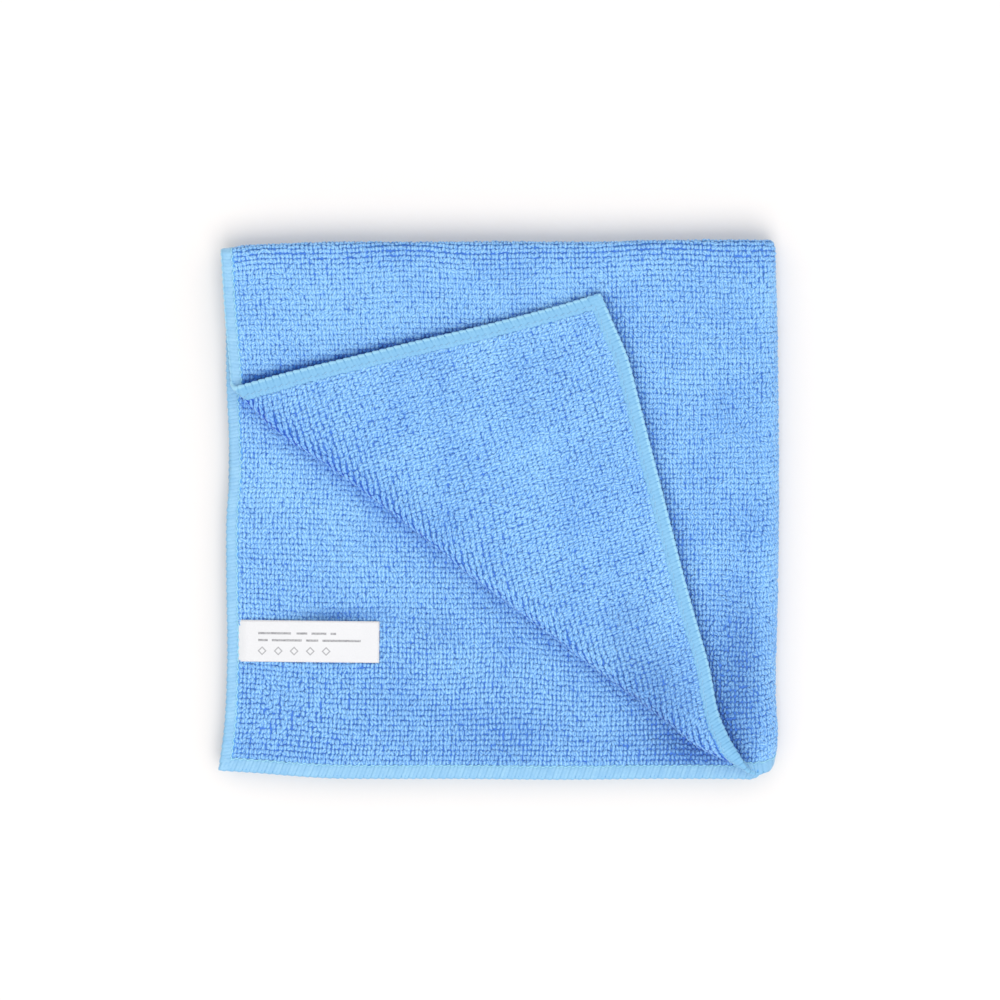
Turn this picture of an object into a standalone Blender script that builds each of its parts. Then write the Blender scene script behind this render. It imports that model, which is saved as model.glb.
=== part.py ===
"""A microfibre cloth folded in quarters, with the free corner of its top layer turned back.

Metres, +Z up. The origin is under the middle of the folded cloth, on the surface it lies on.

The cloth is made as one flat sheet. There u runs across it and v down it, from the two fold
lines, and w is the height over its middle. fold() then takes every point to its place. Each
quarter of the sheet is one layer of the stack:

    top     u > 0, v > 0    its free corner is turned back
    second  u > 0, v < 0    the label is sewn to its left hem
    third   u < 0, v < 0
    bottom  u < 0, v > 0    lies flat on the surface

The first fold is the upper edge, where v = 0. The second is the right edge, where u = 0.
"""

import math

import bmesh
import bpy
import numpy as np

MM = 0.001

# The sheet and the space that its layers keep
SHEET = 2.5 * MM  # the ground with the pile of both faces
AIR = 0.6 * MM  # between two layers that lie on each other

# The folded cloth: its axes of folding and its squared edges, from the middle
SIDE_AXIS_X = 96.7 * MM
UPPER_AXIS_Y = 95.4 * MM
LEFT_EDGE_X = -99.3 * MM
LOWER_EDGE_Y = -98.4 * MM

# The overlocked hem and the rim: thickness of the sheet at each inset from its edge
HEM_PROFILE = {
    "inset": (0, 0.5, 1.5, 4.6, 5.4),
    "thickness": (1.1, 1.7, 2.0, 2.0, 2.5),
}

# How far the left hem of each layer lies outside its squared edge, in millimetres. A station
# is a share of the way from the upper fold to the lower hem.
LEFT_HEM = {
    "station": (0, 0.13, 0.27, 0.36, 0.43, 0.52, 0.62, 0.80, 0.92, 1),
    "top": (1.9, 0.4, -1.7, -1.4, -1.7, -2.6, -3.5, -5.4, -5.8, -5.6),
    "second": (1.9, 0.3, -0.1, -0.9, -1.3, -0.1, 0.0, -0.3, 0.8, 2.9),
    "third": (0.4, -0.2, -1.2, -1.6, -1.8, -1.2, -1.0, -0.6, -0.4, 0.2),
    "bottom": (0.4, -0.6, -0.9, -0.8, -0.6, -0.6, -0.8, -0.8, -0.6, -0.2),
}

# The same for the lower hem. A station is a share of the way from the right fold to the left.
LOWER_HEM = {
    "station": (0, 0.01, 0.03, 0.06, 0.10, 0.16, 0.22, 0.27, 0.36, 0.58, 0.71, 0.80, 0.87, 0.93, 1),
    "top": (-5.0, -2.8, -1.1, -1.0, -1.5, -1.5, -1.4, -0.6, -0.4, 0.7, 1.3, 1.9, 2.2, 0.9, -0.6),
    "second": (-4.6, -2.6, -0.2, 0, 0, 0, 0, 0.1, 0.3, 0, 0, -0.2, -1.1, -2.1, -3.0),
    "third": (-5.0, -3.4, -1.4, -1.1, -1.0, -0.9, -0.8, -0.7, -0.6, -1.2, -1.5, -1.7, -1.9, -2.6, -3.6),
    "bottom": (-5.6, -3.8, -1.2, -0.9, -0.7, -0.6, -0.5, -0.4, -0.4, -0.8, -1.1, -1.5, -1.9, -2.4, -3.2),
}

# How far the two folded edges lie outside their straight lines, in millimetres
UPPER_FOLD = {
    "station": (0, 0.05, 0.15, 0.35, 0.5, 0.7, 0.82, 0.9, 0.97, 1),
    "outward": (0.5, 0.5, 0.6, -0.1, 0.0, -0.2, -0.2, -0.9, -1.6, -2.4),
}
RIGHT_FOLD = {
    "station": (0, 0.17, 0.35, 0.5, 0.65, 0.85, 0.93, 1),
    "outward": (-1.0, -0.2, 0.2, 0.3, -0.1, -0.8, -0.2, -1.9),
}
FOLD_REACH = 25 * MM  # how far into the cloth the bend of a folded edge shows

# The corner that is turned back: its crease runs down to the right, and the cloth turns over
# it on the radius of each station and lies down again on a long soft curve. The bow is how
# far the roll lies outside the straight line of the crease, in millimetres.
CREASE_START = (-95.9 * MM, 46.6 * MM)
CREASE_FALL = math.radians(36.47)
CREASE = {
    "along": (0, 8, 20, 32, 48, 64, 90, 108, 138, 176, 190, 205, 214, 221, 231, 246),
    "radius": (1.65, 1.9, 2.2, 2.3, 2.4, 2.5, 2.8, 2.9, 3.1, 3.4, 3.4, 3.4, 3.3, 3.0, 2.5, 2.2),
    "bow": (0, 0.5, 2.1, 2.1, 1.0, 0.9, 1.1, 2.0, 1.9, 1.8, 1.7, 2.2, 2.7, 1.7, -0.1, -0.4),
}
BOW_REACH = 12 * MM
SETTLE_RADIUS = 160 * MM
FLAP_LAP = 50 * MM  # past the crease, where the turned corner gets its own swells

# Soft swells that hold the layers apart: which layer each one lifts, with all that lies on
# it, the middle of the swell, its reach to each side and its height, in millimetres.
SWELLS = {
    "layer": ("second", "second", "second", "second", "top", "top", "top", "third", "third", "flap", "flap"),
    "x": (97, -40, 20, -70, 0, 96, 40, 0, -60, 66, -30),
    "y": (0, 60, -40, -75, 97, 20, 20, 97, -60, -58, 32),
    "reach_x": (16, 45, 50, 26, 400, 14, 38, 400, 60, 16, 40),
    "reach_y": (400, 50, 26, 22, 14, 60, 45, 14, 50, 26, 16),
    "height": (1.3, 0.5, 0.7, 0.6, 0.6, 0.6, 0.4, 0.4, 0.4, 1.2, 0.7),
}

# The label, sewn under the left hem of the second layer
LABEL_CORNER = (-95.6 * MM, -40.3 * MM)  # upper left
LABEL_LENGTH = 52.3 * MM
LABEL_HEIGHT = 15.2 * MM
LABEL_THICKNESS = 1.0 * MM
LABEL_TURN = math.radians(-0.6)
LABEL_CLEARANCE = 0.35 * MM
LABEL_LIFT = 1.2 * MM  # of its upper edge
LABEL_LIFT_SKEW = 1.6  # moves the highest place of that edge to the right of its middle

# Spacing of the cuts that let the flat sheet bend
FLAT_SPACING = 14.5 * MM
SIDE_FOLD_STEPS = 8
UPPER_FOLD_STEPS = 6
ROLL_SPACING = 1.25 * MM
ROLL_STEPS = 10
SETTLE_CUTS = (18, 24, 31, 38, 46)
LABEL_SPANS = 8
LABEL_ROWS = 4
SHARP_ANGLE = math.radians(50)

HALF_GAP = (SHEET + AIR) / 2  # from the middle of two joined layers to each of them
SIDE_RADIUS = 2 * HALF_GAP
SIDE_AXIS_Z = SIDE_RADIUS + HALF_GAP + SHEET / 2
SIDE_QUARTER = SIDE_RADIUS * math.pi / 2  # sheet in a quarter turn of the side fold
UPPER_QUARTER = HALF_GAP * math.pi / 2
FLAT_ORIGIN = (SIDE_AXIS_X + SIDE_QUARTER, UPPER_AXIS_Y + UPPER_QUARTER)
HALF_WIDTH = FLAT_ORIGIN[0] - LEFT_EDGE_X
HALF_LENGTH = FLAT_ORIGIN[1] - LOWER_EDGE_Y
CREASE_ALONG = np.array((math.cos(CREASE_FALL), -math.sin(CREASE_FALL)))
CREASE_OUT = np.array((-math.sin(CREASE_FALL), -math.cos(CREASE_FALL)))


def curve(table, key, value, at):
    """Read a column of a table on a smooth curve through its rows."""
    stations = np.array(table[key], float)
    values = np.array(table[value], float)
    slopes = np.gradient(values, stations)
    at = np.clip(at, stations[0], stations[-1])
    left = np.clip(np.searchsorted(stations, at) - 1, 0, len(stations) - 2)
    span = stations[left + 1] - stations[left]
    t = (at - stations[left]) / span
    rise = values[left + 1] - values[left]
    start, end = slopes[left] * span, slopes[left + 1] * span
    return values[left] + t * (start + t * (3 * rise - 2 * start - end + t * (start + end - 2 * rise)))


def quarters(u, v):
    """Which layer each point of the flat sheet belongs to."""
    return {
        "top": (u > 0) & (v > 0),
        "second": (u > 0) & (v <= 0),
        "third": (u <= 0) & (v <= 0),
        "bottom": (u <= 0) & (v > 0),
    }


def pull_out_of_square(u, v):
    """Move the points of the square-cut sheet so that its hems lie as uneven as they do."""
    side, foot = np.zeros_like(u), np.zeros_like(v)
    across, down = np.abs(u) / HALF_WIDTH, np.abs(v) / HALF_LENGTH
    for layer, inside in quarters(u, v).items():
        side[inside] = curve(LEFT_HEM, "station", layer, down[inside])
        foot[inside] = curve(LOWER_HEM, "station", layer, across[inside])
    return u * (1 + side * MM / HALF_WIDTH), v * (1 + foot * MM / HALF_LENGTH)


def swell(layer, x, y):
    """Height that the swells of one layer add at a place."""
    height = np.zeros_like(x)
    for row, name in enumerate(SWELLS["layer"]):
        if name == layer:
            across = (x / MM - SWELLS["x"][row]) / SWELLS["reach_x"][row]
            down = (y / MM - SWELLS["y"][row]) / SWELLS["reach_y"][row]
            height += SWELLS["height"][row] * MM * np.exp(-across**2 - down**2)
    return height


def turn_corner_back(u, v, w):
    """Roll the top layer over its crease, still on the flat sheet."""
    x, y = FLAT_ORIGIN[0] - u, FLAT_ORIGIN[1] - v
    from_start = np.stack((x - CREASE_START[0], y - CREASE_START[1]), axis=-1)
    along, past = from_start @ CREASE_ALONG, from_start @ CREASE_OUT
    radius = curve(CREASE, "along", "radius", along / MM) * MM
    bow = curve(CREASE, "along", "bow", along / MM) * MM
    slope = np.arccos((SHEET + AIR - radius + SETTLE_RADIUS) / (radius + SETTLE_RADIUS))
    roll_end = radius * (math.pi + slope)
    settle_end = roll_end + SETTLE_RADIUS * slope

    angle = np.clip(past / radius, 0, math.pi + slope)
    settled = np.clip((past - roll_end) / SETTLE_RADIUS, 0, slope)
    turned = angle - settled
    out = np.minimum(past, 0) + radius * np.sin(angle)
    out -= SETTLE_RADIUS * (np.sin(slope) - np.sin(slope - settled))
    out -= np.maximum(past - settle_end, 0)
    up = radius * (1 - np.cos(angle))
    up -= SETTLE_RADIUS * (np.cos(slope - settled) - np.cos(slope))
    out += bow * np.exp(-(out**2) / BOW_REACH**2) - w * np.sin(turned)
    up += w * np.cos(turned)
    flat = np.outer(along, CREASE_ALONG) + np.outer(out, CREASE_OUT)
    x, y = flat[:, 0] + CREASE_START[0], flat[:, 1] + CREASE_START[1]
    lap = np.clip(past / FLAP_LAP, 0, 1)
    up += swell("flap", x, y) * lap**2 * (3 - 2 * lap)
    return FLAT_ORIGIN[0] - x, FLAT_ORIGIN[1] - y, up


def fold(u, v, w):
    """Take points of the flat sheet to their places in the folded cloth."""
    across, down = np.abs(u) / HALF_WIDTH, np.abs(v) / HALF_LENGTH
    top = (u > 0) & (v > 0)
    u, v, w = u.copy(), v.copy(), w.copy()
    u[top], v[top], w[top] = turn_corner_back(u[top], v[top], w[top])

    side_angle = np.clip(u / SIDE_RADIUS, -math.pi / 2, math.pi / 2)
    upper_angle = np.clip(v / HALF_GAP, -math.pi / 2, math.pi / 2)
    past_side = np.maximum(np.abs(u) - SIDE_QUARTER, 0)
    past_upper = np.maximum(np.abs(v) - UPPER_QUARTER, 0)
    out = (HALF_GAP + w) * np.sin(upper_angle)
    x = SIDE_AXIS_X + (SIDE_RADIUS + out) * np.cos(side_angle) - past_side
    y = UPPER_AXIS_Y + (HALF_GAP + w) * np.cos(upper_angle) - past_upper
    z = SIDE_AXIS_Z + (SIDE_RADIUS + out) * np.sin(side_angle)

    upper_half = (1 + np.sin(side_angle)) / 2
    outer_half = (1 + np.sin(upper_angle)) / 2
    third, second = swell("third", x, y), swell("second", x, y)
    z += (1 - upper_half) * (1 - outer_half) * third
    z += upper_half * (third + second + outer_half * swell("top", x, y))

    from_side = np.maximum(SIDE_AXIS_X - x, 0) / FOLD_REACH
    from_upper = np.maximum(UPPER_AXIS_Y - y, 0) / FOLD_REACH
    x += curve(RIGHT_FOLD, "station", "outward", down) * MM * np.exp(-from_side)
    y += curve(UPPER_FOLD, "station", "outward", across) * MM * np.exp(-from_upper)
    return x, y, z


def clear_scene():
    for obj in list(bpy.data.objects):
        bpy.data.objects.remove(obj, do_unlink=True)


def fabric(name, color, roughness):
    material = bpy.data.materials.new(name)
    material.use_nodes = True
    shader = material.node_tree.nodes["Principled BSDF"]
    shader.inputs["Base Color"].default_value = (*color, 1)
    shader.inputs["Roughness"].default_value = roughness
    shader.inputs["Metallic"].default_value = 0
    return material


def cut(mesh, faces, point, normal):
    """Cut faces of a flat sheet along a line, so that it can bend there."""
    edges = {edge for face in faces for edge in face.edges}
    verts = {vert for face in faces for vert in face.verts}
    bmesh.ops.bisect_plane(
        mesh,
        geom=[*verts, *edges, *faces],
        dist=1e-7,
        plane_co=(*point, 0),
        plane_no=(*normal, 0),
    )


def fold_lines(half, quarter, steps):
    """Places of the cuts across one half-width of the sheet, from the fold to the hem."""
    inner_hem = half - HEM_PROFILE["inset"][-1] * MM
    spans = round((inner_hem - quarter) / FLAT_SPACING)
    lines = [quarter * 2 * step / steps for step in range(steps // 2)]
    lines += [quarter + (inner_hem - quarter) * span / spans for span in range(spans)]
    lines += [half - inset * MM for inset in HEM_PROFILE["inset"][1:]]
    return lines


def slab(name, width, height, lines_across, lines_down, thickness):
    """A flat sheet around the origin, cut along its lines and given its thickness."""
    mesh = bmesh.new()
    bmesh.ops.create_grid(mesh, x_segments=1, y_segments=1, size=0.5)
    bmesh.ops.scale(mesh, verts=mesh.verts, vec=(width, height, 1))
    for place in lines_across:
        cut(mesh, mesh.faces[:], (place, 0), (1, 0))
    for place in lines_down:
        cut(mesh, mesh.faces[:], (0, place), (0, 1))
    data = bpy.data.meshes.new(name)
    mesh.to_mesh(data)
    mesh.free()
    obj = bpy.data.objects.new(name, data)
    bpy.context.scene.collection.objects.link(obj)
    solid = obj.modifiers.new("Thickness", "SOLIDIFY")
    solid.thickness = thickness
    solid.offset = 0
    graph = bpy.context.evaluated_depsgraph_get()
    obj.data = bpy.data.meshes.new_from_object(obj.evaluated_get(graph))
    obj.modifiers.clear()
    bpy.data.meshes.remove(data)
    bpy.context.scene.collection.objects.unlink(obj)
    return obj


def points_of(mesh):
    return np.array([vert.co for vert in mesh.verts], float).T


def move_points(mesh, places):
    for vert, place in zip(mesh.verts, np.transpose(places)):
        vert.co = place


def finish(obj, mesh, material, collection):
    mesh.to_mesh(obj.data)
    mesh.free()
    obj.data.shade_smooth()
    obj.data.set_sharp_from_angle(angle=SHARP_ANGLE)
    obj.data.materials.append(material)
    collection.objects.link(obj)


def make_cloth(collection):
    across = fold_lines(HALF_WIDTH, SIDE_QUARTER, SIDE_FOLD_STEPS)
    down = fold_lines(HALF_LENGTH, UPPER_QUARTER, UPPER_FOLD_STEPS)
    both_across = sorted({side * place for place in across for side in (-1, 1)})
    both_down = sorted({side * place for place in down for side in (-1, 1)})
    obj = slab("cloth", 2 * HALF_WIDTH, 2 * HALF_LENGTH, both_across, both_down, SHEET)
    mesh = bmesh.new()
    mesh.from_mesh(obj.data)

    u, v, w = points_of(mesh)
    inset = np.minimum(HALF_WIDTH - np.abs(u), HALF_LENGTH - np.abs(v)) / MM
    w *= np.interp(inset, HEM_PROFILE["inset"], HEM_PROFILE["thickness"]) * MM / SHEET
    u, v = pull_out_of_square(u, v)
    move_points(mesh, (u, v, w))

    start = np.array(FLAT_ORIGIN) - np.array(CREASE_START)
    roll = [step * ROLL_SPACING for step in range(ROLL_STEPS + 1)]
    for past in roll + [place * MM for place in SETTLE_CUTS]:
        corner = [
            face
            for face in mesh.faces
            if all(vert.co.x > -SHEET and vert.co.y > 0 for vert in face.verts)
        ]
        cut(mesh, corner, start - past * CREASE_OUT, -CREASE_OUT)

    move_points(mesh, fold(*points_of(mesh)))
    bmesh.ops.triangulate(mesh, faces=mesh.faces[:])
    finish(obj, mesh, fabric("Blue microfibre", (0.23, 0.50, 0.91), 0.9), collection)


def make_label(collection):
    lines_across = [LABEL_LENGTH * (span / LABEL_SPANS - 0.5) for span in range(1, LABEL_SPANS)]
    lines_down = [LABEL_HEIGHT * (row / LABEL_ROWS - 0.5) for row in range(1, LABEL_ROWS)]
    obj = slab("label", LABEL_LENGTH, LABEL_HEIGHT, lines_across, lines_down, LABEL_THICKNESS)
    mesh = bmesh.new()
    mesh.from_mesh(obj.data)

    x, y, height = points_of(mesh)
    along, up = x / LABEL_LENGTH + 0.5, y / LABEL_HEIGHT + 0.5
    height += SHEET / 2 + LABEL_CLEARANCE + LABEL_THICKNESS / 2
    skewed = np.clip(along, 0, 1) ** LABEL_LIFT_SKEW
    height += LABEL_LIFT * up**2 * np.sin(math.pi * skewed) ** 2
    right, down = along * LABEL_LENGTH, (1 - up) * LABEL_HEIGHT
    x = LABEL_CORNER[0] + right * math.cos(LABEL_TURN) + down * math.sin(LABEL_TURN)
    y = LABEL_CORNER[1] + right * math.sin(LABEL_TURN) - down * math.cos(LABEL_TURN)
    move_points(mesh, fold(FLAT_ORIGIN[0] - x, y - FLAT_ORIGIN[1], -height))
    bmesh.ops.triangulate(mesh, faces=mesh.faces[:])
    finish(obj, mesh, fabric("White satin tape", (0.90, 0.92, 0.94), 0.45), collection)


def main():
    clear_scene()
    collection = bpy.data.collections.new("Microfibre cloth")
    bpy.context.scene.collection.children.link(collection)
    make_cloth(collection)
    make_label(collection)


main()
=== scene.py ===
import math

import bpy
import numpy as np
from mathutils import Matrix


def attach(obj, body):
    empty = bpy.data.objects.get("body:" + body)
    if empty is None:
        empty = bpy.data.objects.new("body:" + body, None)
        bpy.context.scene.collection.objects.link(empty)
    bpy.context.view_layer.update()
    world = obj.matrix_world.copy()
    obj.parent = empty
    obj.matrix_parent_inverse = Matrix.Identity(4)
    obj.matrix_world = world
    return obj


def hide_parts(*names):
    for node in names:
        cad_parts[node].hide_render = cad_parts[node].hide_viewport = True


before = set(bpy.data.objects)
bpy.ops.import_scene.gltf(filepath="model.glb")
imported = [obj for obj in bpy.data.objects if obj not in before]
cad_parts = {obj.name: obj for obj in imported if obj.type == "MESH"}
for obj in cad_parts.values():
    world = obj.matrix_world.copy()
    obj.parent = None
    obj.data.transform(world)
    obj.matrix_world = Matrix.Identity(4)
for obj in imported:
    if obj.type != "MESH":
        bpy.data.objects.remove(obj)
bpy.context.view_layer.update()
mm = 0.001
random = np.random.default_rng(40)


# the folded sheet, in the sizes of the CAD source

sheet = {
    "thickness": 2.5 * mm,
    "air": 0.6 * mm,  # between two layers
    "sideAxisX": 96.7 * mm,  # axes of the two folds
    "upperAxisY": 95.4 * mm,
    "leftEdgeX": -99.3 * mm,  # squared edges of the open hems
    "lowerEdgeY": -98.4 * mm,
    "foldReach": 25 * mm,  # how far into the cloth the bend of a folded edge shows
    "creaseStart": (-95.9 * mm, 46.6 * mm),
    "creaseFall": math.radians(36.47),
    "bowReach": 12 * mm,
    "settleRadius": 160 * mm,  # of the curve on which the turned corner lies down again
    "flapLap": 50 * mm,  # past the crease, where the turned corner gets its own swells
    "hemTurns": 6 * mm,  # from the side fold, where the turned corner's right hem starts
    # how far the hems lie outside their squared edges, in mm
    "leftHem": {
        "station": (0, 0.13, 0.27, 0.36, 0.43, 0.52, 0.62, 0.80, 0.92, 1),
        "top": (1.9, 0.4, -1.7, -1.4, -1.7, -2.6, -3.5, -5.4, -5.8, -5.6),
        "second": (1.9, 0.3, -0.1, -0.9, -1.3, -0.1, 0.0, -0.3, 0.8, 2.9),
        "third": (0.4, -0.2, -1.2, -1.6, -1.8, -1.2, -1.0, -0.6, -0.4, 0.2),
        "bottom": (0.4, -0.6, -0.9, -0.8, -0.6, -0.6, -0.8, -0.8, -0.6, -0.2),
    },
    "lowerHem": {
        "station": (0, 0.01, 0.03, 0.06, 0.10, 0.16, 0.22, 0.27, 0.36, 0.58, 0.71, 0.80, 0.87, 0.93, 1),
        "top": (-5.0, -2.8, -1.1, -1.0, -1.5, -1.5, -1.4, -0.6, -0.4, 0.7, 1.3, 1.9, 2.2, 0.9, -0.6),
        "second": (-4.6, -2.6, -0.2, 0, 0, 0, 0, 0.1, 0.3, 0, 0, -0.2, -1.1, -2.1, -3.0),
        "third": (-5.0, -3.4, -1.4, -1.1, -1.0, -0.9, -0.8, -0.7, -0.6, -1.2, -1.5, -1.7, -1.9, -2.6, -3.6),
        "bottom": (-5.6, -3.8, -1.2, -0.9, -0.7, -0.6, -0.5, -0.4, -0.4, -0.8, -1.1, -1.5, -1.9, -2.4, -3.2),
    },
    # how far the folded edges lie outside their straight lines, in mm
    "upperFold": {
        "station": (0, 0.05, 0.15, 0.35, 0.5, 0.7, 0.82, 0.9, 0.97, 1),
        "outward": (0.5, 0.5, 0.6, -0.1, 0.0, -0.2, -0.2, -0.9, -1.6, -2.4),
    },
    "rightFold": {
        "station": (0, 0.17, 0.35, 0.5, 0.65, 0.85, 0.93, 1),
        "outward": (-1.0, -0.2, 0.2, 0.3, -0.1, -0.8, -0.2, -1.9),
    },
    # the roll of the turned corner: its radius, and how far it bows out from the crease's line, in mm
    "crease": {
        "along": (0, 8, 20, 32, 48, 64, 90, 108, 138, 176, 190, 205, 214, 221, 231, 246),
        "radius": (1.65, 1.9, 2.2, 2.3, 2.4, 2.5, 2.8, 2.9, 3.1, 3.4, 3.4, 3.4, 3.3, 3.0, 2.5, 2.2),
        "bow": (0, 0.5, 2.1, 2.1, 1.0, 0.9, 1.1, 2.0, 1.9, 1.8, 1.7, 2.2, 2.7, 1.7, -0.1, -0.4),
    },
    # soft swells that lift a layer and all that lies on it, in mm
    "swells": (
        {"on": "second", "at": (97, 0), "reach": (16, 400), "height": 1.3},
        {"on": "second", "at": (-40, 60), "reach": (45, 50), "height": 0.5},
        {"on": "second", "at": (20, -40), "reach": (50, 26), "height": 0.7},
        {"on": "second", "at": (-70, -75), "reach": (26, 22), "height": 0.6},
        {"on": "top", "at": (0, 97), "reach": (400, 14), "height": 0.6},
        {"on": "top", "at": (96, 20), "reach": (14, 60), "height": 0.6},
        {"on": "top", "at": (40, 20), "reach": (38, 45), "height": 0.4},
        {"on": "third", "at": (0, 97), "reach": (400, 14), "height": 0.4},
        {"on": "third", "at": (-60, -60), "reach": (60, 50), "height": 0.4},
        {"on": "flap", "at": (66, -58), "reach": (16, 26), "height": 1.2},
        {"on": "flap", "at": (-30, 32), "reach": (40, 16), "height": 0.7},
    ),
}

halfGap = (sheet["thickness"] + sheet["air"]) / 2
sideRadius = 2 * halfGap
sideAxisZ = sideRadius + halfGap + sheet["thickness"] / 2
sideQuarter = sideRadius * math.pi / 2
upperQuarter = halfGap * math.pi / 2
flatOrigin = (sheet["sideAxisX"] + sideQuarter, sheet["upperAxisY"] + upperQuarter)
halfWidth = flatOrigin[0] - sheet["leftEdgeX"]
halfLength = flatOrigin[1] - sheet["lowerEdgeY"]
creaseAlong = np.array((math.cos(sheet["creaseFall"]), -math.sin(sheet["creaseFall"])))
creaseOut = np.array((-math.sin(sheet["creaseFall"]), -math.cos(sheet["creaseFall"])))


def curve(table, key, value, at):
    # a smooth curve through the table's values
    stations = np.array(table[key], float)
    values = np.array(table[value], float)
    slopes = np.gradient(values, stations)
    at = np.clip(at, stations[0], stations[-1])
    left = np.clip(np.searchsorted(stations, at) - 1, 0, len(stations) - 2)
    span = stations[left + 1] - stations[left]
    t = (at - stations[left]) / span
    rise = values[left + 1] - values[left]
    start, end = slopes[left] * span, slopes[left + 1] * span
    return values[left] + t * (start + t * (3 * rise - 2 * start - end + t * (start + end - 2 * rise)))


def softRounds(rounds, owner, key, x, y, unit=1):
    # what the soft round patches on one layer or face add up to
    total = np.zeros_like(x)
    for patch in rounds:
        if patch["on"] == owner:
            across = (x / mm - patch["at"][0]) / patch["reach"][0]
            down = (y / mm - patch["at"][1]) / patch["reach"][1]
            total += patch.get(key, 0) * unit * np.exp(-across**2 - down**2)
    return total


def swell(layer, x, y):
    return softRounds(sheet["swells"], layer, "height", x, y, mm)


def pullOutOfSquare(u, v):
    # from the square-cut sheet to one whose hems lie as the real ones do
    side, foot = np.zeros_like(u), np.zeros_like(v)
    across, down = np.abs(u) / halfWidth, np.abs(v) / halfLength
    quarters = {
        "top": (u > 0) & (v > 0),
        "second": (u > 0) & (v <= 0),
        "third": (u <= 0) & (v <= 0),
        "bottom": (u <= 0) & (v > 0),
    }
    for layer, inside in quarters.items():
        side[inside] = curve(sheet["leftHem"], "station", layer, down[inside])
        foot[inside] = curve(sheet["lowerHem"], "station", layer, across[inside])
    return u * (1 + side * mm / halfWidth), v * (1 + foot * mm / halfLength)


def pastCrease(u, v):
    # places of flat points along the crease and past it
    fromStart = np.stack((flatOrigin[0] - u, flatOrigin[1] - v), -1) - sheet["creaseStart"]
    return fromStart @ creaseAlong, fromStart @ creaseOut


def turnCornerBack(u, v, w):
    along, past = pastCrease(u, v)
    settle = sheet["settleRadius"]
    radius = curve(sheet["crease"], "along", "radius", along / mm) * mm
    bow = curve(sheet["crease"], "along", "bow", along / mm) * mm
    slope = np.arccos((2 * halfGap - radius + settle) / (radius + settle))
    rollEnd = radius * (math.pi + slope)
    angle = np.clip(past / radius, 0, math.pi + slope)
    settled = np.clip((past - rollEnd) / settle, 0, slope)
    turned = angle - settled
    out = np.minimum(past, 0) + radius * np.sin(angle)
    out -= settle * (np.sin(slope) - np.sin(slope - settled))
    out -= np.maximum(past - rollEnd - settle * slope, 0)
    up = radius * (1 - np.cos(angle))
    up -= settle * (np.cos(slope - settled) - np.cos(slope))
    out += bow * np.exp(-(out**2) / sheet["bowReach"] ** 2) - w * np.sin(turned)
    up += w * np.cos(turned)
    flat = np.outer(along, creaseAlong) + np.outer(out, creaseOut)
    x, y = flat[:, 0] + sheet["creaseStart"][0], flat[:, 1] + sheet["creaseStart"][1]
    lap = np.clip(past / sheet["flapLap"], 0, 1)
    up += swell("flap", x, y) * lap**2 * (3 - 2 * lap)
    return flatOrigin[0] - x, flatOrigin[1] - y, up


def fold(u, v, w):
    # flat points of the pulled sheet to their places in the folded cloth, as rows of x, y, z
    across, down = np.abs(u) / halfWidth, np.abs(v) / halfLength
    top = (u > 0) & (v > 0)
    u, v, w = u.copy(), v.copy(), np.broadcast_to(w, u.shape).copy()
    u[top], v[top], w[top] = turnCornerBack(u[top], v[top], w[top])
    sideAngle = np.clip(u / sideRadius, -math.pi / 2, math.pi / 2)
    upperAngle = np.clip(v / halfGap, -math.pi / 2, math.pi / 2)
    out = (halfGap + w) * np.sin(upperAngle)
    x = sheet["sideAxisX"] + (sideRadius + out) * np.cos(sideAngle)
    x -= np.maximum(np.abs(u) - sideQuarter, 0)
    y = sheet["upperAxisY"] + (halfGap + w) * np.cos(upperAngle)
    y -= np.maximum(np.abs(v) - upperQuarter, 0)
    z = sideAxisZ + (sideRadius + out) * np.sin(sideAngle)
    upperHalf = (1 + np.sin(sideAngle)) / 2
    outerHalf = (1 + np.sin(upperAngle)) / 2
    third, second = swell("third", x, y), swell("second", x, y)
    z += (1 - upperHalf) * (1 - outerHalf) * third
    z += upperHalf * (third + second + outerHalf * swell("top", x, y))
    fromSide = np.maximum(sheet["sideAxisX"] - x, 0) / sheet["foldReach"]
    fromUpper = np.maximum(sheet["upperAxisY"] - y, 0) / sheet["foldReach"]
    x += curve(sheet["rightFold"], "station", "outward", down) * mm * np.exp(-fromSide)
    y += curve(sheet["upperFold"], "station", "outward", across) * mm * np.exp(-fromUpper)
    return np.stack((x, y, z), -1)


def place(u, v, w):
    # points of the square-cut sheet to their places in the folded cloth
    return fold(*pullOutOfSquare(u, v), w)


def facing(u, v, w, tip):
    # places on the sheet, their two directions along it and the one out of it, and how far
    # the folding spreads it there at the height of the tip
    step = 0.04 * mm
    here = place(u, v, w)
    along = place(u + step, v, w) - here
    down = place(u, v + step, w) - here
    along /= np.linalg.norm(along, axis=1)[:, None]
    out = np.cross(along, down)
    out *= math.copysign(1, w) / np.linalg.norm(out, axis=1)[:, None]
    top = place(u, v, tip)
    spreads = [np.linalg.norm(place(u + a * step, v + b * step, tip) - top, axis=1) / step
               for a, b in ((1, 0), (0, 1))]
    return here, along, np.cross(out, along), out, spreads


# small tools

widest = 2.2  # a varied value stays within this many spreads of its middle


def varied(spread, *shape):
    return np.clip(random.normal(0, 1, shape), -widest, widest) * spread


def nearTo(distance, reach):
    return np.exp(-((distance / reach) ** 2))


def waves(count, shortest, longest, seed):
    # a smooth uneven field: the directions, lengths and phases of its waves
    draw = np.random.default_rng(seed)
    angle = draw.uniform(0, 2 * math.pi, count)
    number = 2 * math.pi / draw.uniform(shortest, longest, count)
    return number * np.cos(angle), number * np.sin(angle), draw.uniform(0, 2 * math.pi, count)


def unevenness(field, a, b):
    across, down, phase = field
    return np.sin(np.outer(a, across) + np.outer(b, down) + phase).sum(1) / math.sqrt(len(phase) / 2)


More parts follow.
